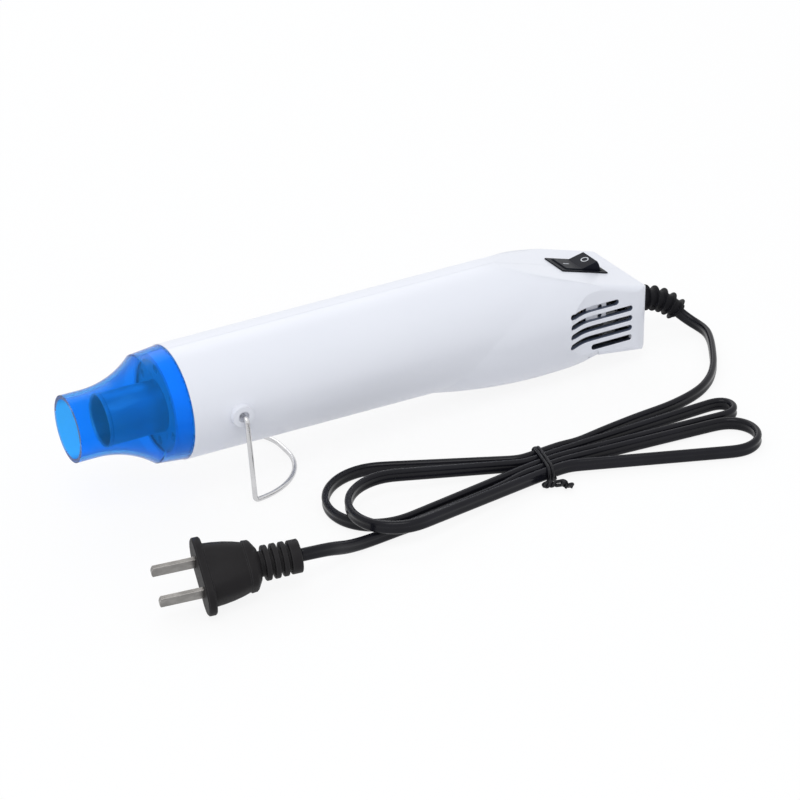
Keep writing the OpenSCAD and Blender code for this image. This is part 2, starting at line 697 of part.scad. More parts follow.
// Angle at which a straight strand from p touches the circle at c, left or right of the way there
function touch_angle(c, r, p, hand) =
  let (v = p - c) atan2(v[1], v[0]) + hand * acos(r / norm(v));
function lobe_points(l, steps = 8) =
  let (c = l[0], r = l[1], side = l[2], x = waist[0] + side * waist_half,
    p = [x, strand_y(l[3])], q = [x, strand_y(l[4])],
    a = touch_angle(c, r, p, 1), b0 = touch_angle(c, r, q, -1),
    b = b0 < a ? b0 + 360 : b0, z = rest_z + l[5],
    arc = [for (i = [0:steps]) let (t = a + (b - a) * i / steps)
      [c[0] + r * cos(t), c[1] + r * sin(t), z]],
    lead_in = [p[0], p[1], waist_z], lead_out = [q[0], q[1], waist_z])
  concat([lead_in, lead_in * 0.5 + arc[0] * 0.5], arc, [arc[steps] * 0.5 + lead_out * 0.5, lead_out]);
hank_start = [waist[0] + waist_half, strand_y(0), waist_z];
hank_end = [waist[0] - waist_half, strand_y(3), waist_z];
hank_path = concat([hank_start], lobe_points(lobe_a), lobe_points(lobe_1), lobe_points(lobe_b),
  lobe_points(lobe_2), [hank_end]);
// Least gap of the hank to itself, between points closer together than its rings
hank_points = [for (i = [0:len(hank_path) - 2], t = [0:0.125:0.9])
  hank_path[i] * (1 - t) + hank_path[i + 1] * t];
function apart(p, q) = norm([p[0] - q[0], p[1] - q[1], max(0, abs(p[2] - q[2]) - 2 * edge_z)]) - cord_t;
hank_gap = min([for (i = [0:len(hank_points) - 25], j = [i + 24:len(hank_points) - 1])
  apart(hank_points[i], hank_points[j])]);
echo(least_gap_of_the_hank_to_itself = hank_gap);
module cord_hank() {
  color("#18181c") sweep(hank_path, hank_section);
}

// Free stretches of the cord, through points chosen along their route
function bow(p, q, r, s, t) = 0.5 * (2 * q + (r - p) * t + (2 * p - 5 * q + 4 * r - s) * t * t
  + (3 * q - p - 3 * r + s) * t * t * t);
function smooth_path(pts) = let (m = len(pts) - 1) concat([for (i = [0:m - 1], t = [0, 0.5])
  bow(pts[max(i - 1, 0)], pts[i], pts[i + 1], pts[min(i + 2, m)], t)], [pts[m]]);
relief_end = placed([tool_len, 0, relief_z] + relief_out);
lead_route = [[159.8, -12.6, 3.4], [157.8, -24.6, 2.8], [150.8, -37.6, 2.8], [142.8, -48.6, 2.8], [133.8, -56.6, 2.8],
  [121.8, -61.6, 2.8], [106.8, -63.6, 2.8], [89.8, -64.1, 2.8], [73.8, -65.1, 2.8], [59.8, -66.4, 2.8]];
lead_path = concat([relief_end], smooth_path(concat([relief_end + placed_way(relief_way) * cord_w],
  lead_route, [hank_start + [cord_w, 0, 0]])), [hank_start]);
module cord_lead() {
  color("#18181c") sweep(lead_path, cord_section);
}

// Plug, lying on a corner of its flange
plug_spot = [-112.2, -80.6, 11.9];
plug_turn = 168;
plug_roll = -30;
flange = [3.2, 31.2, 16];
plug_len = 38;
function plug_out(l) = plug_spot - [cos(plug_turn), sin(plug_turn), 0] * l;
tail_route = [[17.8, -78, 2.8], [1.8, -79.6, 2.8], [-16.2, -80.9, 2.8], [-31.2, -81.4, 2.8],
  [-44.2, -82, 3], [-55.2, -85.2, 6], [-63.2, -88.2, 10]];
tail_path = concat([hank_end], smooth_path(concat([hank_end - [cord_w, 0, 0]], tail_route,
  [plug_out(plug_len + cord_w)])), [plug_out(plug_len)]);
module cord_tail() {
  color("#18181c") sweep(tail_path, cord_section);
}
module at_plug() {
  translate(plug_spot) rotate([0, 0, plug_turn]) rotate([plug_roll, 0, 0]) children();
}
// A slab with rounded long edges, along X
module soft_slab(x0, x1, y, z, r) {
  translate([x0, 0, 0]) rotate([90, 0, 90]) linear_extrude(height = x1 - x0)
    soft_outline([[-y / 2, -z / 2], [y / 2, -z / 2], [y / 2, z / 2], [-y / 2, z / 2]], [r, r, r, r]);
}
grip_back = 22;
module plug_body() {
  color("#232225") at_plug() union() {
    soft_slab(-flange[0], 0, flange[1], flange[2], flange[2] / 2 - 0.1);
    // Grip, tapering to a low ridge
    intersection() {
      soft_slab(-grip_back, -flange[0] + 0.5, 24, 15, 6);
      translate([0, 0, -10]) linear_extrude(height = 20) soft_outline([[-grip_back, -6.4],
        [-20.4, -9.9], [-17.4, -9.9], [-17.4, -9.4], [-11, -11.2], [-2.7, -11.6], [-2.7, 11.6], [-11, 11.2],
        [-17.4, 9.4], [-17.4, 9.9], [-20.4, 9.9], [-grip_back, 6.4]], [0, 0.6, 0, 0, 12, 0, 0, 12, 0, 0, 0.6, 0]);
    }
    rod(5.1, -plug_len, 1 - grip_back);
    for (i = [0:2]) translate([-24.4 - i * 3.3, 0, 0]) rod(6.8 - 0.15 * i, -1.1, 1.1, 64);
    rod(6.2, -plug_len, 5.5 - plug_len, 64);
  }
}
blade_w = 6.4;
blade_t = 1.5;
module plug_blades() {
  tip_r = 8;
  color("#b9b4a6") at_plug() for (y = [-blade_gap / 2, blade_gap / 2]) intersection() {
    translate([0, y - blade_t / 2, -blade_w / 2]) cube([blade_len, blade_t, blade_w]);
    translate([blade_len - tip_r, 0, 0]) rotate([90, 0, 0]) union() {
      cylinder(r = tip_r, h = 60, center = true, $fn = fine);
      translate([-20, -blade_w, -30]) cube([20, 2 * blade_w, 60]);
    }
  }
}

// Twist tie round the waist
tie_x = 4;
module tie_outline(d) {
  y = 2 * strand_step + cord_t / 2 + tie_gap + d;
  z = cord_w / 2 + tie_gap + d;
  soft_outline([[-y, -z], [y, -z], [y, z], [-y, z]], [1 + d, 1 + d, 1 + d, 1 + d]);
}
module twist_tie() {
  color("black") translate([waist[0], waist[1], waist_z]) {
    translate([-tie_x / 2, 0, 0]) rotate([90, 0, 90]) linear_extrude(height = tie_x) difference() {
      tie_outline(tie_t);
      tie_outline(0);
    }
  }
}

left_shell();
right_shell();
nozzle_cap();
heat_tube();
tube_holder();
mica_sleeve();
heater_cards();
heating_coil();
thermal_cutout();
air_duct();
fan();
motor_shaft();
motor();
motor_mount();
rectifier_board();
diodes();
switch_frame();
switch_terminals();
rocker();
stand();
strain_relief();
cord_clamp();
clamp_screws();
housing_screws();
lead_wires();
cord_lead();
cord_hank();
cord_tail();
twist_tie();
plug_body();
plug_blades();
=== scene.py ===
import math

import bpy
from mathutils import Matrix, Vector


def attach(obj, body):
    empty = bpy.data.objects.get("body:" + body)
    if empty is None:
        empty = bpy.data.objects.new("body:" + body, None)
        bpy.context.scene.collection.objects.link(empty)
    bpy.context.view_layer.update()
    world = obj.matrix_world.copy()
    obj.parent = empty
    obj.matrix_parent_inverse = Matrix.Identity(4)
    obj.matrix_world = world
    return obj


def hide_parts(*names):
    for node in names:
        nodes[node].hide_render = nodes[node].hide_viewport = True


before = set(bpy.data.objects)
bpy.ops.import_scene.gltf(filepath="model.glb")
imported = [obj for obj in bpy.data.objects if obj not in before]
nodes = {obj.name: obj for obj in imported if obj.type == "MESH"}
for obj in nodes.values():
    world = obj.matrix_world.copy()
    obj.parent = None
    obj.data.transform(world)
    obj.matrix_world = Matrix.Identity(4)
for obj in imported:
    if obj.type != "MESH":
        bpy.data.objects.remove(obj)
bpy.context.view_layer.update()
scene = bpy.context.scene
mm = 0.001
sharpAngle = math.radians(35)
print("frame loaded")


# camera, fitted to the photograph's outlines

cameraSettings = {
    "azimuth": -27.09,
    "elevation": 29.66,
    "roll": -4.0,
    "distance": 1.0,
    "target": (0.01599, 0.0, 0.00599),
    "lens": 109.3,
    "sensor": 36,
    "near": 0.01,
    "far": 50,
}


def makeCamera(s):
    a, e, r = (math.radians(s[k]) for k in ("azimuth", "elevation", "roll"))
    back = Vector((math.sin(a) * math.cos(e), -math.cos(a) * math.cos(e), math.sin(e)))
    right = Vector((math.cos(a), math.sin(a), 0))
    up = back.cross(right)
    camX = right * math.cos(r) + up * math.sin(r)
    camY = up * math.cos(r) - right * math.sin(r)
    data = bpy.data.cameras.new("photoCamera")
    data.lens = s["lens"]
    data.sensor_width = s["sensor"]
    data.clip_start, data.clip_end = s["near"], s["far"]
    cam = bpy.data.objects.new("photoCamera", data)
    scene.collection.objects.link(cam)
    turn = Matrix((camX, camY, back)).transposed()
    cam.matrix_world = Matrix.Translation(Vector(s["target"]) + back * s["distance"]) @ turn.to_4x4()
    scene.camera = cam


makeCamera(cameraSettings)
scene.view_settings.view_transform = "Standard"
print("camera set")


# small mesh and path helpers

def addPiece(name, verts, faces, body, slotName, smooth=True):
    mesh = bpy.data.meshes.new(name)
    mesh.from_pydata([tuple(v) for v in verts], [], faces)
    mesh.validate()
    mesh.polygons.foreach_set("use_smooth", [smooth] * len(mesh.polygons))
    obj = bpy.data.objects.new(name, mesh)
    scene.collection.objects.link(obj)
    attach(obj, body)
    return obj


def wayAt(path, i):
    return (path[min(i + 1, len(path) - 1)] - path[max(i - 1, 0)]).normalized()


def sweptTube(path, section, ups=None):
    verts, faces = [], []
    n, m = len(section), len(path)
    for i, p in enumerate(path):
        ahead = wayAt(path, i)
        side = ahead.cross(ups[i] if ups else Vector((0, 0, 1))).normalized()
        rise = side.cross(ahead)
        verts += [p + side * x + rise * y for x, y in section]
    for i in range(m - 1):
        for j in range(n):
            a, b = i * n + j, i * n + (j + 1) % n
            faces.append((a, b, b + n, a + n))
    faces.append(tuple(range(n - 1, -1, -1)))
    faces.append(tuple(range((m - 1) * n, m * n)))
    return verts, faces


def evenly(points, step):
    # the same line with points at equal steps
    out, carry = [points[0].copy()], 0.0
    for p, q in zip(points, points[1:]):
        length = (q - p).length
        while carry + length >= step:
            t = (step - carry) / length
            p = p.lerp(q, t)
            length = (q - p).length
            carry = 0.0
            out.append(p.copy())
        carry += length
    if (out[-1] - points[-1]).length < step / 2:
        out.pop()
    out.append(points[-1].copy())
    return out


def curved(points, steps):
    # a smooth line through the points
    out, last = [], len(points) - 1
    for i in range(last):
        p, q, r, s = points[max(i - 1, 0)], points[i], points[i + 1], points[min(i + 2, last)]
        for k in range(steps):
            t = k / steps
            out.append(0.5 * (2 * q + (r - p) * t + (2 * p - 5 * q + 4 * r - s) * t * t
                              + (3 * q - p - 3 * r + s) * t ** 3))
    return out + [points[-1]]


def steadyUps(path, firstUp=Vector((0.1, 0.2, 1))):
    # carries one up direction along the path, so that the section doesn't twist
    ahead = (path[1] - path[0]).normalized()
    up = firstUp - ahead * ahead.dot(firstUp)
    ups = []
    for i in range(len(path)):
        ahead = wayAt(path, i)
        up = (up - ahead * up.dot(ahead)).normalized()
        ups.append(up.copy())
    return ups


def relaxed(points, rounds, pinned):
    # evens out the kinks, with the points at both ends held
    for _ in range(rounds):
        points = [p if i < pinned or i >= len(points) - pinned
                  else (points[i - 1] + p * 2 + points[i + 1]) / 4 for i, p in enumerate(points)]
    return points


# the cord's route and the tool's place

cordSettings = {
    "width": 5.4 * mm,
    "thickness": 2.9 * mm,
    "grooveShare": 0.8,
    # first angle, sweep and steps of each core's outline
    "coreArc": (-24, 228, 9),
    "step": 1.5 * mm,
    "splineSteps": 12,
    "arcSteps": 24,
    "relaxRounds": 6,
    "pinned": 2,
    "strandStep": 3.4 * mm,
    "waist": Vector((39.8, -73.6, 0)) * mm,
    "waistHalf": 7 * mm,
    "restZ": 2.75 * mm,
    "waistZ": 3.93 * mm,
    "lift": 6.0 * mm,
    # each round end: centre, radius, side of the waist, strand it leaves, strand it joins, lift
    "lobes": (
        (-24.7, -55.9, 21, -1, 0, 2, 0),
        (121.8, -77.4, 5.6, 1, 2, 1, 0),
        (-24.7, -71.6, 19, -1, 1, 4, 1),
        (112.3, -97, 11.2, 1, 4, 3, 0),
    ),
    # free stretch from the tool to the hank, and from the hank to the plug
    "lead": (
        (152.8, -7.4, 5.5), (154.8, -11.1, 3.65), (155.8, -15.3, 2.95), (155.3, -20.4, 2.8),
        (151.6, -28.4, 2.8), (145.9, -37.8, 2.8), (140.0, -46.4, 2.8), (132.2, -54.4, 2.8),
        (121.8, -60.4, 2.8), (106.8, -63.6, 2.8), (89.8, -64.1, 2.8), (73.8, -65.1, 2.8),
        (59.8, -66.4, 2.8),
    ),
    "tail": (
        (17.8, -78, 2.8), (1.8, -79.6, 2.8), (-16.2, -80.9, 2.8), (-31.2, -81.4, 2.8),
        (-44.2, -82, 3), (-54.2, -85.1, 5.9), (-62.2, -88.5, 10.0),
    ),
    "plugSpot": Vector((-112.2, -80.6, 11.9)) * mm,
    "plugTurn": 168.0,
    "plugLength": 38 * mm,
}

toolSettings = {"pitch": math.radians(2.86167), "axisZ": 40.4003 * mm, "midX": 126.8416 * mm}


def placed(x, y, z):
    # from the tool's own axes, x along the barrel from the mouth, to the frame's
    t = toolSettings
    c, n = math.cos(t["pitch"]), math.sin(t["pitch"])
    return Vector((x * c + z * n - t["midX"], y, t["axisZ"] - x * n + z * c))


def placedWay(v):
    return placed(*v) - placed(0, 0, 0)


# strain relief: a sleeve with thin rings that bends more towards its end

sleeveSettings = {
    "start": Vector((254, 0, -9.5)) * mm,
    "length": 28 * mm,
    "bend": 58.0,
    "ease": 1.6,
    "turn": 30.0,
    "core": 4.15 * mm,
    "endCore": 3.8 * mm,
    "inWall": 1.8 * mm,
    "bore": 2 * mm,
    "rings": 7,
    "firstRing": 2.9 * mm,
    "ringStep": 3.98 * mm,
    "ringRadius": 5.7 * mm,
    "ringShrink": 0.05 * mm,
    "ringRoot": 0.46 * mm,
    "ringTip": 0.22 * mm,
    "ringRound": 0.2 * mm,
    # how far the end goes past the length, and the rounding of its edge
    "endOver": (0.2 * mm, 0.5 * mm),
    "endRound": 0.3 * mm,
    "sides": 40,
    "bendSteps": 60,
}


def sleeveSpot(s, along):
    steps = s["bendSteps"]
    turn = math.radians(s["turn"])
    forward, drop, angle = min(along, 0.0), 0.0, 0.0
    for i in range(steps if along > 0 else 0):
        share = along / s["length"] * (i + 0.5) / steps
        angle = math.radians(s["bend"]) * share ** s["ease"]
        forward += along / steps * math.cos(angle)
        drop += along / steps * math.sin(angle)
    start = s["start"]
    spot = placed(start.x + forward, -drop * math.sin(turn), start.z - drop * math.cos(turn))
    down = -math.sin(angle)
    way = placedWay((math.cos(angle), down * math.sin(turn), down * math.cos(turn)))
    return spot, way.normalized()


def makeSleeve(s):
    def core(t):
        return s["core"] + (s["endCore"] - s["core"]) * t / s["length"]

    # distance along the sleeve and radius there
    profile = [(-s["inWall"], s["bore"]), (-s["inWall"], core(0))]
    root, tip, soft = s["ringRoot"], s["ringTip"], s["ringRound"]
    for k in range(s["rings"]):
        t, r = s["firstRing"] + k * s["ringStep"], s["ringRadius"] - k * s["ringShrink"]
        profile += [(t - root, core(t)), (t - tip, r - soft), (t - tip / 2, r), (t + tip / 2, r),
                    (t + tip, r - soft), (t + root, core(t))]
    near, far = (s["length"] + over for over in s["endOver"])
    profile += [(near, s["endCore"]), (far, s["endCore"] - s["endRound"]), (far, s["bore"])]
    turn = math.radians(s["turn"])
    flat = placedWay((0, math.cos(turn), -math.sin(turn))).normalized()
    verts, faces, n = [], [], s["sides"]
    for along, radius in profile:
        spot, way = sleeveSpot(s, along)
        rise = flat.cross(way).normalized()
        for k in range(n):
            a = 2 * math.pi * k / n
            verts.append(spot + (flat * math.cos(a) + rise * math.sin(a)) * radius)
    for i in range(len(profile) - 1):
        for k in range(n):
            a, b = i * n + k, i * n + (k + 1) % n
            faces.append((a, b, b + n, a + n))
    faces += [tuple(range(n - 1, -1, -1)), tuple(range((len(profile) - 1) * n, len(profile) * n))]
    return verts, faces


sleevePiece = addPiece("reliefSleeve", *makeSleeve(sleeveSettings), "housing", "strain_relief")
sleevePiece.data.set_sharp_from_angle(angle=sharpAngle)
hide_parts("strain_relief")
print("relief made")


# the cord: one flat twin flex from the strain relief through the tied hank to the plug

def cordRoute(s):
    def strand(side, i):
        # where strand i passes one side of the waist
        x, y, _ = s["waist"]
        return Vector((x + side * s["waistHalf"], y + (2 - i) * s["strandStep"], s["waistZ"]))

    end, way = sleeveSpot(sleeveSettings, sleeveSettings["length"])
    turn = math.radians(s["plugTurn"])
    plugWay = Vector((math.cos(turn), math.sin(turn), 0))
    plugEnd = s["plugSpot"] - plugWay * s["plugLength"]
    hankStart, hankEnd = strand(1, 0), strand(-1, 3)
    clear = Vector((s["width"], 0, 0))
    leadPoints, tailPoints = ([Vector(p) * mm for p in s[part]] for part in ("lead", "tail"))
    lead = curved([end + way * mm] + leadPoints + [hankStart + clear], s["splineSteps"])
    tail = curved([hankEnd - clear] + tailPoints + [plugEnd - plugWay * s["width"]], s["splineSteps"])
    hank = []
    for cx, cy, radius, side, leaves, joins, lift in s["lobes"]:
        c, r = Vector((cx, cy)) * mm, radius * mm
        p, q = strand(side, leaves), strand(side, joins)
        angles = []
        for point, hand in ((p, 1), (q, -1)):
            v = point.xy - c
            angles.append(math.atan2(v.y, v.x) + hand * math.acos(r / v.length))
        a, b = angles
        if b < a:
            b += 2 * math.pi
        z = s["restZ"] + lift * s["lift"]
        arc = []
        for i in range(s["arcSteps"] + 1):
            at = a + (b - a) * i / s["arcSteps"]
            arc.append(Vector((c.x + r * math.cos(at), c.y + r * math.sin(at), z)))
        hank += [p, p.lerp(arc[0], 0.5)] + arc + [arc[-1].lerp(q, 0.5), q]
    route = [end] + lead + [hankStart] + hank + [hankEnd] + tail + [plugEnd]
    return relaxed(evenly(route, s["step"]), s["relaxRounds"], s["pinned"])


def twinSection(s):
    # two round cores side by side, with a groove on either side between them
    r = s["thickness"] / 2
    h = s["width"] / 2 - r
    first, sweep, steps = s["coreArc"]
    half = []
    for i in range(steps + 1):
        a = math.radians(first + sweep * i / steps)
        half.append((r * math.cos(a), h + r * math.sin(a)))
    groove = r * s["grooveShare"]
    return half + [(-groove, 0)] + [(-x, -y) for x, y in half] + [(groove, 0)]


cordPath = cordRoute(cordSettings)
cordVerts, cordFaces = sweptTube(cordPath, twinSection(cordSettings))
cordPiece = addPiece("mainsCord", cordVerts, cordFaces, "housing", "cord_lead")
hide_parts("cord_lead", "cord_hank", "cord_tail")


# plug: flange, waisted grip with a low ridge, and its own ribbed relief

plugSettings = {
    "roll": -30.0,
    # distance behind the flange's face, half width, half height and corner radius
    "form": (
        (0, 3, 3, 2.9), (0, 14.9, 7.3, 7.2), (-0.5, 15.5, 7.9, 7.8), (-2.7, 15.5, 7.9, 7.8),
        (-3.2, 15.1, 7.5, 7.4), (-3.3, 12.0, 7.4, 6.0), (-7, 11.6, 7.5, 6.0), (-11, 11.0, 7.4, 6.0),
        (-14.5, 10.2, 7.1, 5.8), (-17.4, 9.3, 6.7, 5.5), (-17.8, 9.7, 7.1, 5.7),
        (-19.8, 9.5, 7.0, 5.6), (-20.5, 9.0, 6.6, 5.4), (-22.2, 6.3, 5.7, 5.4), (-22.6, 4.8, 4.8, 4.7),
    ),
    # distance of each rib, its radius and half its thickness
    "ribs": ((-25.1, 6.65, 1.1), (-28.5, 6.6, 1.1), (-31.8, 6.5, 1.05), (-35.9, 6.35, 2.1)),
    "ribSlope": 0.1,
    "ribRound": (0.35, 0.25),
    "core": 4.8,
    "bore": 3,
    "square": 0.1,
}


def softSection(halfWidth, halfHeight, radius, corner=9):
    # a rectangle with rounded corners
    points = []
    for quarter, (sy, sz) in enumerate(((1, 1), (-1, 1), (-1, -1), (1, -1))):
        for k in range(corner):
            a = math.pi / 2 * (quarter + k / (corner - 1))
            points.append((sy * (halfWidth - radius) + radius * math.cos(a),
                           sz * (halfHeight - radius) + radius * math.sin(a)))
    return points


def makePlug(s, c):
    place = (Matrix.Translation(c["plugSpot"]) @ Matrix.Rotation(math.radians(c["plugTurn"]), 4, "Z")
             @ Matrix.Rotation(math.radians(s["roll"]), 4, "X") @ Matrix.Scale(mm, 4))
    form, core, slope = list(s["form"]), s["core"], s["ribSlope"]
    over, under = s["ribRound"]
    for x, r, half in s["ribs"]:
        rise = ((half, core), (half - slope, r - under), (half - over, r))
        for step, size in rise + tuple((-step, size) for step, size in reversed(rise)):
            form.append((x + step, size, size, size - s["square"]))
    form.append((form[-1][0], s["bore"], s["bore"], s["bore"] - s["square"]))
    verts, faces = [], []
    for x, halfWidth, halfHeight, radius in form:
        verts += [place @ Vector((x, y, z)) for y, z in softSection(halfWidth, halfHeight, radius)]
    n = len(verts) // len(form)
    for i in range(len(form) - 1):
        for k in range(n):
            a, b = i * n + k, i * n + (k + 1) % n
            faces.append((a, a + n, b + n, b))
    faces += [tuple(range(n)), tuple(range(len(verts) - 1, len(verts) - n - 1, -1))]
    return verts, faces


plugPiece = addPiece("plugShell", *makePlug(plugSettings, cordSettings), "housing", "plug_body")
plugPiece.data.set_sharp_from_angle(angle=sharpAngle)
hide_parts("plug_body")
print("plug made")


# twist tie round the waist of the hank: one coated wire, wound round, twisted and knotted

tieSettings = {
    "centre": Vector((39.8, -73.6, 3.93)) * mm,
    "halfWidth": 8.95 * mm,
    "halfHeight": 3.2 * mm,
    "squareness": 0.4,
    "wire": 0.7 * mm,
    "sides": 10,
    "step": 0.35 * mm,
    "splineSteps": 3,
    "relaxRounds": 3,
    "pinned": 1,
    "rounds": 2,
    "loopSteps": 72,
    "loopStart": 190,
    "loopGap": 24,
    "pitch": 1.45 * mm,
    "slant": 0.2,
    "eye": 1.6 * mm,
    "eyeShare": 0.6,
    "eyeHeight": 0.8,
    "eyeAt": (0.35, -1.3 * mm),
    "eyeShift": Vector((0.4, -0.6, 0)) * mm,
    # first angle, sweep and steps of the small loop on top
    "eyeArc": (-60, 330, 8),
    "twistFrom": Vector((32.6, -84.6, 2.0)) * mm,
    "twistTo": Vector((37.4, -86.6, 2.2)) * mm,
    "twistRadius": 0.78 * mm,
    "twistTurns": 1.4,
    "twistSteps": 16,
    "longTail": ((38.6, -87.7, 1.7), (39.8, -88.7, 2.2), (40.1, -89.3, 3.4), (39.1, -89.6, 3.9),
                 (38.4, -88.9, 2.9), (39.1, -88.2, 1.8), (40.3, -88.9, 1.2), (41.3, -90.0, 1.4),
                 (42.0, -90.9, 2.4), (41.2, -91.4, 3.1), (40.5, -90.6, 2.6), (41.2, -89.9, 1.6),
                 (42.1, -90.7, 1.0)),
    "shortTail": ((38.5, -87.2, 3.2), (39.4, -88.0, 3.6), (40.3, -88.9, 3.0), (40.0, -89.8, 2.0),
                  (39.2, -89.6, 1.2)),
}


def tiePath(s):
    def onLoop(angle, x):
        # a rounded box round the waist, in a slanting plane
        c, n, power = math.cos(angle), math.sin(angle), s["squareness"]
        y = math.copysign(abs(c) ** power, c) * s["halfWidth"]
        z = math.copysign(abs(n) ** power, n) * s["halfHeight"]
        return s["centre"] + Vector((x + y * s["slant"], y, z))

    wound = []
    sweep = 2 * math.pi * s["rounds"] - math.radians(s["loopGap"])
    for i in range(s["loopSteps"] + 1):
        t = i / s["loopSteps"]
        angle = math.radians(s["loopStart"]) - t * sweep
        wound.append(onLoop(angle, (t - 0.5) * s["pitch"] * s["rounds"]))

    eye = []
    hub = onLoop(*s["eyeAt"]) + s["eyeShift"]
    first, turned, steps = s["eyeArc"]
    for i in range(steps + 1):
        a = math.radians(first + turned * i / steps)
        out = Vector((-math.sin(a), 0, s["eyeHeight"] * math.cos(a)))
        eye.append(hub + out * s["eye"] * s["eyeShare"])

    axis = (s["twistTo"] - s["twistFrom"]).normalized()
    across = axis.cross(Vector((0, 0, 1))).normalized()
    lift = across.cross(axis)

    def strand(phase):
        points = []
        for i in range(s["twistSteps"] + 1):
            t = i / s["twistSteps"]
            a = phase + 2 * math.pi * s["twistTurns"] * t
            points.append(s["twistFrom"].lerp(s["twistTo"], t)
                          + (across * math.cos(a) + lift * math.sin(a)) * s["twistRadius"])
        return points

    shortTail, longTail = ([Vector(p) * mm for p in s[end]] for end in ("shortTail", "longTail"))
    route = shortTail[::-1] + strand(0)[::-1] + wound + strand(math.pi) + longTail
    return curved(route, s["splineSteps"]), curved(eye, s["splineSteps"])


def roundSection(radius, sides):
    turns = [2 * math.pi * k / sides for k in range(sides)]
    return [(radius * math.cos(a), radius * math.sin(a)) for a in turns]


def makeTie(s):
    verts, faces = [], []
    for line in tiePath(s):
        line = relaxed(evenly(line, s["step"]), s["relaxRounds"], s["pinned"])
        v, f = sweptTube(line, roundSection(s["wire"], s["sides"]), ups=steadyUps(line))
        faces += [tuple(k + len(verts) for k in face) for face in f]
        verts += v
    return verts, faces


tieVerts, tieFaces = makeTie(tieSettings)
tiePiece = addPiece("twistTie", tieVerts, tieFaces, "housing", "twist_tie")
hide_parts("twist_tie")

evenly(cordPath, 4 * mm)[:-1] + [cordPath[-1]]
print("tie wound")


# marks on the rocker: a bar and a ring, set into its two faces

markSettings = {
    "faceMid": (229.4, 0, 12.8),
    "faceSlope": 16.0,
    "hinge": -2.5,
    "tilt": -14.0,
    "rise": 3.6,
    "lift": 0.04,
    "depth": 0.1,
    # length, width and place of the bar; outer and inner radius and place of the ring
    "bar": (3.0, 0.55, -4.6),
    "barSides": 24,
    "ring": (1.7, 1.25, 4.9),
    "ringSides": 40,
}


def rockerFrame(s, side):
    def turn(degrees):
        return Matrix.Rotation(math.radians(degrees), 4, "Y")

    t = toolSettings
    base = (Matrix.Translation((-t["midX"], 0, t["axisZ"])) @ Matrix.Rotation(t["pitch"], 4, "Y")
            @ Matrix.Scale(mm, 4) @ Matrix.Translation(s["faceMid"]) @ turn(s["faceSlope"])
            @ Matrix.Translation((0, 0, s["hinge"])) @ turn(s["tilt"]))
    return base @ Matrix.Translation((0, 0, s["rise"])) @ turn(side * s["tilt"])


def flatRing(outer, inner, sides, depth):
    verts = []
    for radius, z in ((outer, -depth), (outer, 0), (inner, 0), (inner, -depth)):
        verts += [(x, y, z) for x, y in roundSection(radius, sides)]
    faces = []
    for r in range(4):
        for k in range(sides):
            a, b, near, far = k, (k + 1) % sides, r * sides, (r + 1) % 4 * sides
            faces.append((near + a, near + b, far + b, far + a))
    return verts, faces


def flatBar(length, width, sides, depth):
    verts = []
    for z in (-depth, 0):
        for k in range(sides):
            a = 2 * math.pi * k / sides
            end = math.copysign(length / 2 - width / 2, math.cos(a))
            verts.append((end + width / 2 * math.cos(a), width / 2 * math.sin(a), z))
    faces = [(k, (k + 1) % sides, sides + (k + 1) % sides, sides + k) for k in range(sides)]
    return verts, faces + [tuple(range(sides - 1, -1, -1)), tuple(range(sides, 2 * sides))]


def makeMarks(s):
    length, width, barX = s["bar"]
    outer, inner, ringX = s["ring"]
    bar = flatBar(length, width, s["barSides"], s["depth"])
    ring = flatRing(outer, inner, s["ringSides"], s["depth"])
    for name, (points, faces), side, x in (("onMark", bar, -1, barX), ("offMark", ring, 1, ringX)):
        frameOf = rockerFrame(s, side)
        verts = [frameOf @ (Vector(v) + Vector((x, 0, s["lift"]))) for v in points]
        marks[name] = addPiece(name, verts, faces, "rocker", "rocker", smooth=False)


marks = {}
makeMarks(markSettings)
print("rocker marked")


# shader groups: each puts out a colour, a mask, a height or a normal

def newGroup(name, inputs, outputs):
    tree = bpy.data.node_groups.new(name, "ShaderNodeTree")
    for label, kind, value in inputs:
        socket = tree.interface.new_socket(name=label, in_out="INPUT", socket_type="NodeSocket" + kind)
        if value is not None:
            socket.default_value = value
    for label, kind in outputs:
        tree.interface.new_socket(name=label, in_out="OUTPUT", socket_type="NodeSocket" + kind)
    return tree, tree.nodes.new("NodeGroupInput"), tree.nodes.new("NodeGroupOutput")


def fill(tree, node, values):
    # a socket is linked, anything else is set as the input's value
    for key, value in values.items():
        if isinstance(value, bpy.types.NodeSocket):
            tree.links.new(value, node.inputs[key])
        else:
            node.inputs[key].default_value = value
    return node


def addNode(tree, kind, values=None, **options):
    node = tree.nodes.new("ShaderNode" + kind)
    for key, value in options.items():
        setattr(node, key, value)
    return fill(tree, node, values or {})


def useGroup(tree, key, values):
    node = tree.nodes.new("ShaderNodeGroup")
    node.node_tree = groups[key]
    return fill(tree, node, values)


def mathOf(tree, operation, *values):
    return addNode(tree, "Math", dict(enumerate(values)), operation=operation).outputs[0]


def vectorOf(tree, operation, *values):
    node = addNode(tree, "VectorMath", dict(enumerate(values)), operation=operation)
    return node.outputs["Value" if operation in ("DOT_PRODUCT", "LENGTH") else "Vector"]


def scaledOf(tree, vector, factor):
    return addNode(tree, "VectorMath", {0: vector, "Scale": factor}, operation="SCALE").outputs["Vector"]


def colorMix(tree, share, first, second):
    return addNode(tree, "Mix", {0: share, 6: first, 7: second}, data_type="RGBA").outputs[2]


def rangeOf(tree, value, low, high, **options):
    # 0 at low, 1 at high
    ends = {"Value": value, "From Min": low, "From Max": high}
    return addNode(tree, "MapRange", ends, **options).outputs[0]


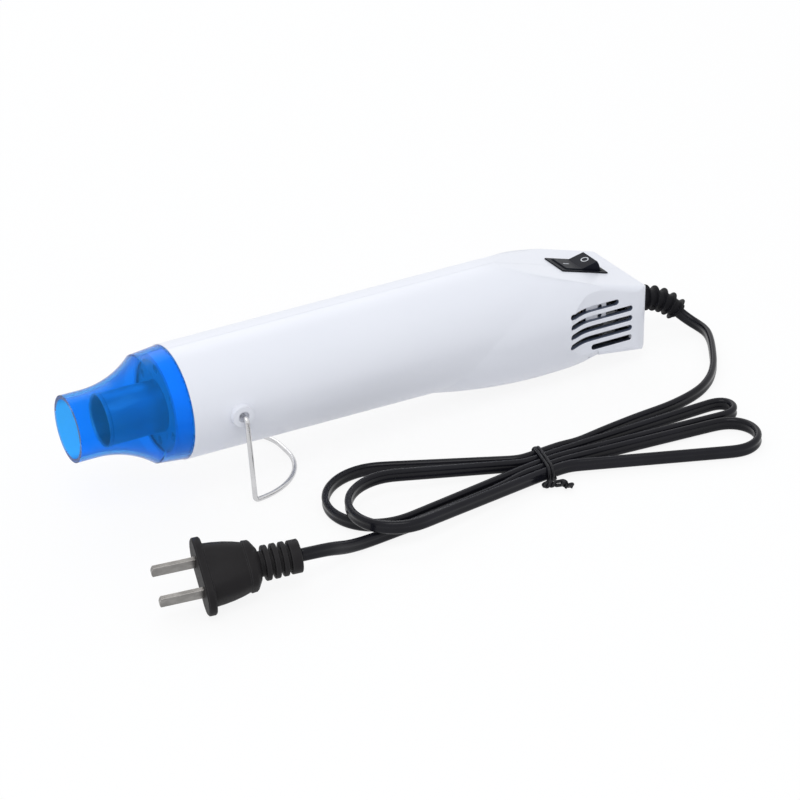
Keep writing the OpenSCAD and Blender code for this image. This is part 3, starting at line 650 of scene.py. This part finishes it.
def makeGrainGroup():
    tree, given, result = newGroup(
        "fineGrain",
        [("Place", "Vector", None), ("Scale", "Float", 900.0), ("Coarse Share", "Float", 0.3)],
        [("Height", "Float")])
    place, scale = given.outputs["Place"], given.outputs["Scale"]
    fine = addNode(tree, "TexNoise", {"Vector": place, "Scale": scale, "Detail": 3.0, "Roughness": 0.6})
    wide = mathOf(tree, "MULTIPLY", scale, 0.12)
    coarse = addNode(tree, "TexNoise", {"Vector": place, "Scale": wide, "Detail": 2.0})
    parts = {0: given.outputs["Coarse Share"], 2: fine.outputs[0], 3: coarse.outputs[0]}
    fill(tree, result, {"Height": addNode(tree, "Mix", parts, data_type="FLOAT").outputs[0]})
    return tree


def makeVariationGroup():
    tree, given, result = newGroup(
        "unevenColor",
        [("Place", "Vector", None), ("Color", "Color", None), ("Shade", "Color", None),
         ("Scale", "Float", 40.0), ("Amount", "Float", 0.3)],
        [("Color", "Color")])
    cloud = addNode(tree, "TexNoise", {"Vector": given.outputs["Place"], "Scale": given.outputs["Scale"],
                                       "Detail": 4.0, "Roughness": 0.55})
    curve = rangeOf(tree, cloud.outputs[0], 0.35, 0.65, interpolation_type="SMOOTHSTEP")
    share = mathOf(tree, "MULTIPLY", curve, given.outputs["Amount"])
    fill(tree, result, {"Color": colorMix(tree, share, given.outputs["Color"], given.outputs["Shade"])})
    return tree


def makeEdgeGroup():
    tree, given, result = newGroup("softEdge", [("Radius", "Float", 0.0004)],
                                   [("Normal", "Vector"), ("Edge", "Float")])
    bevel = addNode(tree, "Bevel", {"Radius": given.outputs["Radius"]}, samples=6).outputs[0]
    plain = addNode(tree, "NewGeometry").outputs["Normal"]
    level = vectorOf(tree, "DOT_PRODUCT", bevel, plain)
    fill(tree, result, {"Normal": bevel, "Edge": rangeOf(tree, level, 0.995, 0.85)})
    return tree


def makeBrushGroup():
    tree, given, result = newGroup(
        "drawnLines",
        [("Place", "Vector", None), ("Stretch", "Vector", None), ("Scale", "Float", 300.0)],
        [("Height", "Float")])
    pulled = vectorOf(tree, "MULTIPLY", given.outputs["Place"], given.outputs["Stretch"])
    lines = addNode(tree, "TexNoise", {"Vector": pulled, "Scale": given.outputs["Scale"],
                                       "Detail": 5.0, "Roughness": 0.7})
    fill(tree, result, {"Height": lines.outputs[0]})
    return tree


groups = {"grain": makeGrainGroup(), "variation": makeVariationGroup(), "edge": makeEdgeGroup(),
          "brush": makeBrushGroup()}


# one settings row for each finish: its colours, gloss, grain and edge rounding

finishDefaults = {
    "patch": 45.0, "amount": 0.35, "rough": (0.35, 0.5), "metal": 0.0, "grain": 900.0, "depth": 0.00002,
    "edge": 0.0003, "edgeTint": None, "stretch": None, "coat": 0.0, "specular": 0.5,
    "transmission": 0.0, "ior": 1.5, "lampTint": None, "paintedDarkRim": None, "glossTint": (1.0, 1.0, 1.0),
    "inside": None, "slotWallShade": None,
}

finishes = {
    "coolWhitePlastic": {
        "color": (0.80, 0.815, 0.875), "shade": (0.765, 0.78, 0.85), "patch": 14.0, "rough": (0.3, 0.4),
        # the last two colours are painted shade, for the inner faces and for the vent slots' walls
        "grain": 1400.0, "depth": 0.000012, "edge": 0.0005, "inside": (0.028, 0.034, 0.055),
        "slotWallShade": (0.10, 0.12, 0.18),
    },
    "clearBluePlastic": {
        "color": (0.06, 0.46, 1.0), "shade": (0.04, 0.38, 1.0), "patch": 30.0, "rough": (0.09, 0.14),
        "grain": 420.0, "depth": 0.000004, "edge": 0.0, "transmission": 0.9, "ior": 1.26,
        # the navy tint on the next line paints a dark rim where the cap is seen edge-on
        "specular": 0.45, "lampTint": (0.10, 0.55, 1.0), "paintedDarkRim": (0.002, 0.05, 0.45),
        "glossTint": (0.08, 0.5, 1.0),
    },
    "temperedSteel": {
        "color": (0.44, 0.42, 0.41), "shade": (0.30, 0.26, 0.24), "patch": 60.0, "metal": 1.0,
        "rough": (0.34, 0.46), "stretch": (1.0, 6.0, 6.0), "grain": 160.0, "depth": 0.000006,
    },
    "brightSteel": {
        "color": (0.66, 0.66, 0.67), "shade": (0.5, 0.5, 0.52), "patch": 90.0, "metal": 1.0,
        "rough": (0.16, 0.3), "grain": 700.0,
    },
    "castMetal": {
        "color": (0.48, 0.49, 0.5), "shade": (0.38, 0.39, 0.4), "metal": 1.0, "rough": (0.3, 0.45),
    },
    "firedCeramic": {
        "color": (0.78, 0.72, 0.6), "shade": (0.66, 0.6, 0.5), "rough": (0.6, 0.8), "patch": 80.0,
        "depth": 0.00005,
    },
    "pressedMica": {
        "color": (0.55, 0.44, 0.25), "shade": (0.36, 0.27, 0.15), "rough": (0.3, 0.55), "patch": 220.0,
        "amount": 0.7, "depth": 0.00006, "coat": 0.2,
    },
    "heatingWire": {
        "color": (0.3, 0.28, 0.27), "shade": (0.2, 0.15, 0.14), "metal": 1.0, "rough": (0.35, 0.5),
    },
    "innerWhitePlastic": {
        "color": (0.62, 0.63, 0.64), "shade": (0.52, 0.53, 0.54), "rough": (0.45, 0.6),
    },
    "fanPlastic": {"color": (0.55, 0.57, 0.6), "shade": (0.47, 0.49, 0.52), "rough": (0.35, 0.5)},
    "boardFiber": {
        "color": (0.42, 0.27, 0.1), "shade": (0.33, 0.2, 0.07), "rough": (0.5, 0.65), "patch": 260.0,
    },
    "diodeEpoxy": {"color": (0.015, 0.015, 0.017), "shade": (0.05, 0.05, 0.055), "rough": (0.3, 0.45)},
    "switchNylon": {
        "color": (0.008, 0.009, 0.012), "shade": (0.013, 0.015, 0.021), "patch": 120.0,
        "rough": (0.3, 0.44), "grain": 1800.0, "depth": 0.00002, "edge": 0.0003,
        "edgeTint": (0.024, 0.028, 0.036), "specular": 0.05,
    },
    "rockerNylon": {
        "color": (0.007, 0.008, 0.013), "shade": (0.012, 0.014, 0.022), "patch": 120.0,
        "rough": (0.26, 0.4), "grain": 1600.0, "depth": 0.000015, "edge": 0.0004,
        "edgeTint": (0.028, 0.033, 0.042), "specular": 0.05,
    },
    "contactBrass": {
        "color": (0.62, 0.45, 0.16), "shade": (0.45, 0.3, 0.1), "metal": 1.0, "rough": (0.25, 0.4),
    },
    "reliefRubber": {
        "color": (0.010, 0.010, 0.012), "shade": (0.017, 0.017, 0.02), "patch": 150.0,
        "rough": (0.42, 0.58), "grain": 2200.0, "depth": 0.00003, "edge": 0.0001,
        "edgeTint": (0.022, 0.022, 0.026), "specular": 0.1,
    },
    "cordVinyl": {
        "color": (0.007, 0.007, 0.010), "shade": (0.014, 0.014, 0.020), "patch": 60.0,
        "rough": (0.16, 0.28), "grain": 1100.0, "depth": 0.00001, "edge": 0.0, "specular": 0.17,
    },
    "tieVinyl": {
        "color": (0.007, 0.007, 0.009), "shade": (0.018, 0.018, 0.022), "patch": 300.0,
        "rough": (0.28, 0.42), "grain": 1500.0, "depth": 0.00003, "edge": 0.0, "specular": 0.2,
    },
    "clampPlastic": {"color": (0.6, 0.61, 0.63), "shade": (0.5, 0.51, 0.53), "rough": (0.4, 0.55)},
    "wireCover": {"color": (0.02, 0.021, 0.025), "shade": (0.04, 0.04, 0.045), "rough": (0.35, 0.5)},
    "plugVinyl": {
        "color": (0.013, 0.012, 0.013), "shade": (0.021, 0.020, 0.021), "patch": 70.0,
        "rough": (0.46, 0.62), "grain": 1900.0, "depth": 0.00003, "edge": 0.0005,
        "edgeTint": (0.045, 0.044, 0.046), "specular": 0.12,
    },
    "nickelBlade": {
        "color": (0.27, 0.26, 0.25), "shade": (0.14, 0.135, 0.13), "patch": 160.0, "amount": 0.6,
        "metal": 1.0, "rough": (0.24, 0.42), "stretch": (1.0, 9.0, 9.0), "grain": 420.0, "edge": 0.0003,
        "edgeTint": (0.6, 0.58, 0.56),
    },
    "markPaint": {
        "color": (0.62, 0.64, 0.68), "shade": (0.5, 0.52, 0.56), "patch": 500.0, "rough": (0.45, 0.6),
        "edge": 0.0,
    },
}

finishOf = {
    "left_shell": "coolWhitePlastic", "right_shell": "coolWhitePlastic",
    "nozzle_cap": "clearBluePlastic", "heat_tube": "temperedSteel", "tube_holder": "firedCeramic",
    "mica_sleeve": "pressedMica", "heater_cards": "pressedMica", "heating_coil": "heatingWire",
    "thermal_cutout": "brightSteel", "air_duct": "innerWhitePlastic", "fan": "fanPlastic",
    "motor_shaft": "brightSteel", "motor": "castMetal", "motor_mount": "innerWhitePlastic",
    "rectifier_board": "boardFiber", "diodes": "diodeEpoxy", "switch_frame": "switchNylon",
    "switch_terminals": "contactBrass", "rocker": "rockerNylon", "stand": "brightSteel",
    "cord_clamp": "clampPlastic", "clamp_screws": "brightSteel", "housing_screws": "brightSteel",
    "lead_wires": "wireCover", "plug_blades": "nickelBlade",
}


# where the vent slots' walls and the inner faces are, both with painted shade, the soft edge by the
# switch, and the cap's rim with its painted dark rim

ventSettings = {
    "low": Vector((83.0, 18.5, 14.5)) * mm,
    "high": Vector((117.2, 24.6, 35.5)) * mm,
    "wallTurn": (0.5, 0.35),
}
insideSettings = {"turnedIn": (-0.25, -0.45)}
creaseSettings = {
    "slope": 16.0,
    "mid": Vector((229.4, 0, 12.8)) * mm,
    "radius": 24.5 * mm,
    "width": 3.2 * mm,
    "full": 213 * mm,
    "none": 223 * mm,
}
paintedDarkRimSettings = {"from": 0.4, "to": 0.95, "share": 0.95}


def fromAxis(tree, place):
    # how far a point lies along the barrel's centre line, and its way out from that line
    axis = placedWay((1, 0, 0))
    reach = vectorOf(tree, "SUBTRACT", place, placed(0, 0, 0))
    along = vectorOf(tree, "DOT_PRODUCT", reach, axis)
    return along, vectorOf(tree, "SUBTRACT", reach, scaledOf(tree, axis, along))


def insideMask(tree, coords):
    # 1 on faces that look towards the barrel's centre line, 0 on the outside; these inner faces get
    # painted shade, the dark of the unlit inside
    outward = fromAxis(tree, coords.outputs["Object"])[1]
    facing = vectorOf(tree, "DOT_PRODUCT", vectorOf(tree, "NORMALIZE", outward), coords.outputs["Normal"])
    return rangeOf(tree, facing, *insideSettings["turnedIn"])


def slotShadeMask(tree, coords):
    # 1 on the cut walls of the vent slots, which get painted shade
    low, high = ventSettings["low"], ventSettings["high"]
    spot = addNode(tree, "SeparateXYZ", {0: coords.outputs["Object"]})
    sides = addNode(tree, "SeparateXYZ", {0: coords.outputs["Normal"]})
    mask = rangeOf(tree, mathOf(tree, "ABSOLUTE", sides.outputs[1]), *ventSettings["wallTurn"])
    depth = mathOf(tree, "ABSOLUTE", spot.outputs[1])
    for value, least, most in zip((spot.outputs[0], depth, spot.outputs[2]), low, high):
        for edge, kind in ((least, "GREATER_THAN"), (most, "LESS_THAN")):
            mask = mathOf(tree, "MULTIPLY", mask, mathOf(tree, kind, value, edge))
    return mask


def softCrease(tree, place, normal):
    # shades the edge between the sloped face and the barrel as the wide rounding it is
    s = creaseSettings
    turn = math.radians(s["slope"])
    faceWay = placedWay((math.sin(turn), 0, math.cos(turn)))
    along, outward = fromAxis(tree, place)
    barrelWay = vectorOf(tree, "NORMALIZE", outward)
    over = vectorOf(tree, "DOT_PRODUCT", vectorOf(tree, "SUBTRACT", place, placed(*s["mid"])), faceWay)
    lead = mathOf(tree, "SUBTRACT", over, vectorOf(tree, "LENGTH", outward))
    lead = mathOf(tree, "ADD", lead, s["radius"])
    share = rangeOf(tree, lead, -s["width"], s["width"], interpolation_type="SMOOTHSTEP")
    lean = mathOf(tree, "SUBTRACT", share, mathOf(tree, "GREATER_THAN", lead, 0.0))
    lean = mathOf(tree, "MULTIPLY", lean, rangeOf(tree, along, s["none"], s["full"]))
    push = scaledOf(tree, vectorOf(tree, "SUBTRACT", faceWay, barrelWay), lean)
    return vectorOf(tree, "NORMALIZE", vectorOf(tree, "ADD", normal, push))


# painted dark rim: the colour turns towards deep navy where the cap is seen edge-on, in place of the
# deeper blue and inner reflections clear plastic shows there
def withPaintedDarkRim(tree, color, tint):
    s = paintedDarkRimSettings
    rim = addNode(tree, "LayerWeight", {"Blend": 0.5})
    share = addNode(tree, "MapRange", {"Value": rim.outputs["Facing"], "From Min": s["from"],
                                       "From Max": s["to"], "To Max": s["share"]})
    return colorMix(tree, share.outputs[0], color, (*tint, 1))


def clearForLamps(tree, shader, tint):
    # lamp light passes the clear cap and reaches what is inside
    ray = addNode(tree, "LightPath")
    clear = addNode(tree, "BsdfTransparent", {"Color": (*tint, 1)})
    both = addNode(tree, "MixShader", {0: ray.outputs["Is Shadow Ray"], 1: shader.outputs[0],
                                       2: clear.outputs[0]})
    fill(tree, tree.nodes["Material Output"], {"Surface": both.outputs[0]})


def makeFinish(name, given):
    s = {**finishDefaults, **given}
    mat = bpy.data.materials.new(name)
    mat.use_nodes = True
    tree = mat.node_tree
    shader = tree.nodes["Principled BSDF"]
    coords = addNode(tree, "TexCoord")
    place = coords.outputs["Object"]

    color = useGroup(tree, "variation", {
        "Place": place, "Color": (*s["color"], 1), "Shade": (*s["shade"], 1), "Scale": s["patch"],
        "Amount": s["amount"]}).outputs["Color"]
    normal = None
    if s["edge"]:
        edge = useGroup(tree, "edge", {"Radius": s["edge"]})
        normal = edge.outputs["Normal"]
        if s["edgeTint"]:
            color = colorMix(tree, edge.outputs["Edge"], color, (*s["edgeTint"], 1))
    # painted dark rim on the clear cap
    if s["paintedDarkRim"]:
        color = withPaintedDarkRim(tree, color, s["paintedDarkRim"])
    # painted shade: the inner faces and the vent slots' walls are coloured dark, as the unlit inside
    # looks
    if s["inside"]:
        color = colorMix(tree, insideMask(tree, coords), color, (*s["inside"], 1))
        color = colorMix(tree, slotShadeMask(tree, coords), color, (*s["slotWallShade"], 1))
        normal = softCrease(tree, place, normal)
    if s["lampTint"]:
        clearForLamps(tree, shader, s["lampTint"])

    if s["stretch"]:
        lines = useGroup(tree, "brush", {"Place": place, "Stretch": s["stretch"], "Scale": s["grain"]})
    else:
        lines = useGroup(tree, "grain", {"Place": place, "Scale": s["grain"]})
    height = lines.outputs["Height"]
    bump = addNode(tree, "Bump", {"Height": height, "Strength": 1.0, "Distance": s["depth"]})
    if normal is not None:
        fill(tree, bump, {"Normal": normal})
    low, high = s["rough"]
    rough = addNode(tree, "MapRange", {"Value": height, "From Min": 0.3, "From Max": 0.7,
                                       "To Min": low, "To Max": high})
    fill(tree, shader, {
        "Base Color": color, "Normal": bump.outputs[0], "Roughness": rough.outputs[0],
        "Metallic": s["metal"], "Transmission Weight": s["transmission"], "IOR": s["ior"],
        "Coat Weight": s["coat"], "Specular IOR Level": s["specular"],
        "Specular Tint": (*s["glossTint"], 1),
    })
    return mat


materials = {name: makeFinish(name, s) for name, s in finishes.items()}


def dress(obj, name):
    obj.data.materials.clear()
    obj.data.materials.append(materials[name])


for nodeName, finish in finishOf.items():
    dress(nodes[nodeName], finish)
dress(cordPiece, "cordVinyl")
dress(sleevePiece, "reliefRubber")
dress(plugPiece, "plugVinyl")
dress(tiePiece, "tieVinyl")
for piece in marks.values():
    dress(piece, "markPaint")
print("finishes set on %d nodes" % len(finishOf))


# stage: pale floor, plain lamps

stageSettings = {
    "floorSize": 30.0,
    "floorZ": -0.0002,
    "floorColor": (0.93, 0.93, 0.94),
    "worldColor": (0.96, 0.98, 1),
    "worldLight": 0.75,
    "shadowShare": 0.12,
}


def backdropMask(tree):
    # 1 for rays that show the background: seen directly, in a gloss or through the clear cap
    path = addNode(tree, "LightPath")
    mask = path.outputs["Is Camera Ray"]
    for kind in ("Is Glossy Ray", "Is Transmission Ray"):
        mask = mathOf(tree, "MAXIMUM", mask, path.outputs[kind])
    return mask


def makeFloor(s):
    half, z = s["floorSize"] / 2, s["floorZ"]
    mesh = bpy.data.meshes.new("floor")
    mesh.from_pydata([(-half, -half, z), (half, -half, z), (half, half, z), (-half, half, z)],
                     [], [(0, 1, 2, 3)])
    floor = bpy.data.objects.new("floor", mesh)
    scene.collection.objects.link(floor)
    mat = bpy.data.materials.new("paleFloor")
    mat.use_nodes = True
    tree = mat.node_tree
    tree.nodes.clear()
    shaded = addNode(tree, "BsdfDiffuse", {"Color": (*s["floorColor"], 1)})
    white = addNode(tree, "Emission", {"Color": (1, 1, 1, 1), "Strength": 1})
    share = mathOf(tree, "MULTIPLY", backdropMask(tree), 1 - s["shadowShare"])
    mix = addNode(tree, "MixShader", {0: share, 1: shaded.outputs[0], 2: white.outputs[0]})
    addNode(tree, "OutputMaterial", {"Surface": mix.outputs[0]})
    mesh.materials.append(mat)


def makeWorld(s):
    world = bpy.data.worlds.new("studio")
    scene.world = world
    world.use_nodes = True
    tree = world.node_tree
    tree.nodes.clear()
    soft = addNode(tree, "Background", {"Color": (*s["worldColor"], 1), "Strength": s["worldLight"]})
    white = addNode(tree, "Background", {"Color": (1, 1, 1, 1), "Strength": 1})
    mix = addNode(tree, "MixShader", {0: backdropMask(tree), 1: soft.outputs[0], 2: white.outputs[0]})
    addNode(tree, "OutputWorld", {"Surface": mix.outputs[0]})


lampSettings = (
    {"name": "keyLamp", "place": (-0.35, -0.55, 1.15), "aim": (0, 0, 0.03), "size": 0.7, "power": 4.8},
    {"name": "rimLamp", "place": (0.3, 0.9, 0.9), "aim": (0, 0, 0.03), "size": 0.8, "power": 2.8},
)


def makeLamps(lamps):
    for s in lamps:
        data = bpy.data.lights.new(s["name"], "AREA")
        data.energy = s["power"]
        data.size = s["size"]
        lamp = bpy.data.objects.new(s["name"], data)
        scene.collection.objects.link(lamp)
        lamp.location = s["place"]
        lamp.rotation_mode = "QUATERNION"
        lamp.rotation_quaternion = (Vector(s["place"]) - Vector(s["aim"])).to_track_quat("Z", "Y")


makeFloor(stageSettings)
makeWorld(stageSettings)
makeLamps(lampSettings)
print("stage lit")
